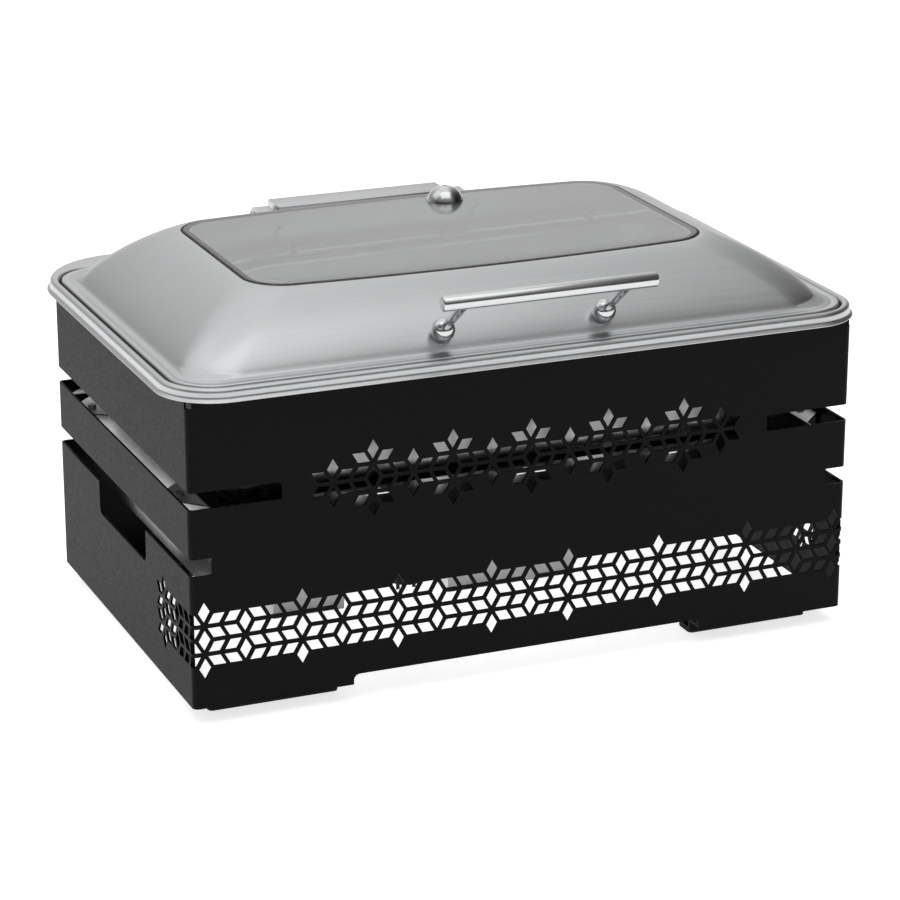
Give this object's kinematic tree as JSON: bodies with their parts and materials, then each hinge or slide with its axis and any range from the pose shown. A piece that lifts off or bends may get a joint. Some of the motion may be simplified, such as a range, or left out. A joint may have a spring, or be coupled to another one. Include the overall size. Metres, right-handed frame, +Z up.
{
  "type": "electric buffet server",
  "caption": "Full-size electric chafing dish: hinged windowed lid, food pan and water pan on a perforated black sheet-metal stand with heater tray and rear controls.",
  "frame": {"origin": "on the table, under the middle of the stand, which is the bottom centre of the whole object's box", "axes": "+X to the user's right along the width, +Y to the rear (the front panel and the lid handle are at -Y), +Z up"},
  "size_m": [0.5968, 0.432, 0.3356],
  "materials": {
    "black_powder_coat": "matt fine-texture powder coat on sheet steel",
    "brushed_stainless": "fine brushed stainless steel",
    "satin_stainless": "satin stainless sheet",
    "polished_chrome": "bright polished",
    "clear_glass": "toughened clear glass",
    "black_silicone": "moulded silicone",
    "rubber_feet": "matt black rubber",
    "zinc_screws": "zinc plated",
    "brass_fittings": "plain brass",
    "dark_plastic": "moulded heat-resisting plastic",
    "amber_lens": "clear tinted lens",
    "element_sheath": "oxidised heater sheath",
    "mineral_board": "pressed mineral fibre board",
    "loom_sleeve": "woven glass-fibre sleeve"
  },
  "bodies": {
    "stand": {"front_panel": "black_powder_coat", "rear_panel": "black_powder_coat", "left_top_band": "black_powder_coat", "right_top_band": "black_powder_coat", "left_middle_band": "black_powder_coat", "right_middle_band": "black_powder_coat", "left_lower_panel": "black_powder_coat", "right_lower_panel": "black_powder_coat", "top_lips": "black_powder_coat", "corner_angles": "black_powder_coat", "floor_lips": "black_powder_coat", "feet": "black_powder_coat", "foot_pads": "rubber_feet", "heater_tray": "satin_stainless", "tray_brackets": "black_powder_coat", "tray_screws": "zinc_screws", "insulation_board": "mineral_board", "reflector_sheet": "satin_stainless", "heating_element": "element_sheath", "element_clips": "zinc_screws", "junction_box": "satin_stainless", "thermal_cutout": "dark_plastic", "sensor_housing": "satin_stainless", "wiring_loom": "loom_sleeve", "control_box": "black_powder_coat", "control_box_screws": "zinc_screws", "thermostat_body": "dark_plastic", "lamp_body": "dark_plastic", "lamp_lens": "amber_lens", "switch_frame": "dark_plastic", "inlet_socket": "dark_plastic", "inlet_pins": "brass_fittings"},
    "chafer": {"water_pan": "brushed_stainless", "hinge_base": "brushed_stainless", "hinge_housing": "brushed_stainless", "hinge_bushes": "brass_fittings", "hinge_dampers": "dark_plastic", "hinge_screws": "zinc_screws"},
    "food_tray": {"food_pan": "brushed_stainless"},
    "lid": {"lid_shell": "brushed_stainless", "lid_glass": "clear_glass", "window_gasket": "black_silicone", "vent_cap": "polished_chrome", "vent_nut": "zinc_screws", "hinge_arms": "brushed_stainless", "arm_rivets": "zinc_screws", "hinge_shaft": "zinc_screws", "shaft_caps": "polished_chrome", "handle_bar": "polished_chrome", "handle_posts": "polished_chrome", "handle_bosses": "polished_chrome", "boss_screws": "zinc_screws", "boss_studs": "zinc_screws", "lid_pads": "black_silicone"},
    "knob": {"thermostat_knob": "dark_plastic", "thermostat_spindle": "zinc_screws"},
    "rocker": {"switch_rocker": "dark_plastic"}
  },
  "joints": [
    {"name": "chafer_lift", "type": "slide", "parent": "stand", "child": "chafer", "axis": [0, 0, 1], "range_m": [0, 0.12]},
    {"name": "food_pan_lift", "type": "slide", "parent": "chafer", "child": "food_tray", "axis": [0, 0, 1], "range_m": [0, 0.005]},
    {"name": "lid_hinge", "type": "hinge", "parent": "chafer", "child": "lid", "pos_m": [0, 0.201, 0.294], "axis": [-1, 0, 0], "range_deg": [0, 90]},
    {"name": "knob_turn", "type": "hinge", "parent": "stand", "child": "knob", "pos_m": [0.048, 0.2, 0.076], "axis": [0, 1, 0], "range_deg": [0, 270]},
    {"name": "rocker_tip", "type": "hinge", "parent": "stand", "child": "rocker", "pos_m": [-0.008, 0.194, 0.076], "axis": [1, 0, 0], "range_deg": [0, 20]}
  ]
}
